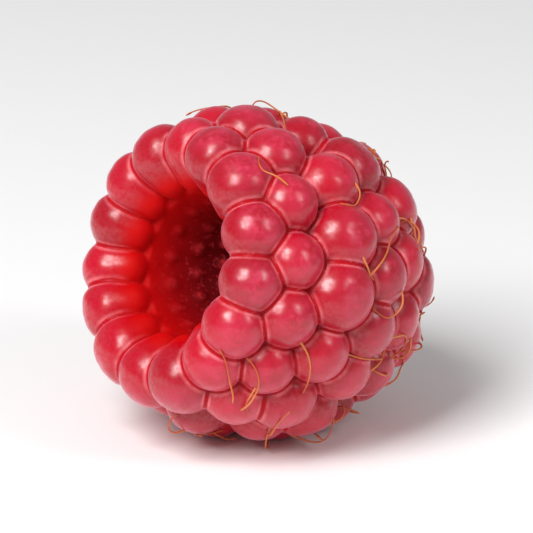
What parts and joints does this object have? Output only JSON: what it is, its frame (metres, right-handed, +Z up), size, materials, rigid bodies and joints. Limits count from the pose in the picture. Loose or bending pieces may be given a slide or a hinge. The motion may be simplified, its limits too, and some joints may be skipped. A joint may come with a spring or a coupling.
{
  "type": "raspberry",
  "caption": "Ripe red raspberry as picked, lying on its side: round drupelets grown together round an open hollow.",
  "frame": {"origin": "middle of the fruit's box, at the surface that it lies on", "axes": "+Z up; the hollow's mouth faces -Y and is tipped up by about 18 degrees; +X across the fruit"},
  "size_m": [0.0218, 0.0218, 0.0215],
  "materials": {
    "drupelet_skin": "soft satin fruit skin with a pale velvet bloom, translucent flesh below",
    "styles": "dry amber hairs"
  },
  "bodies": {
    "root": {"berry": "drupelet_skin"}
  },
  "joints": []
}
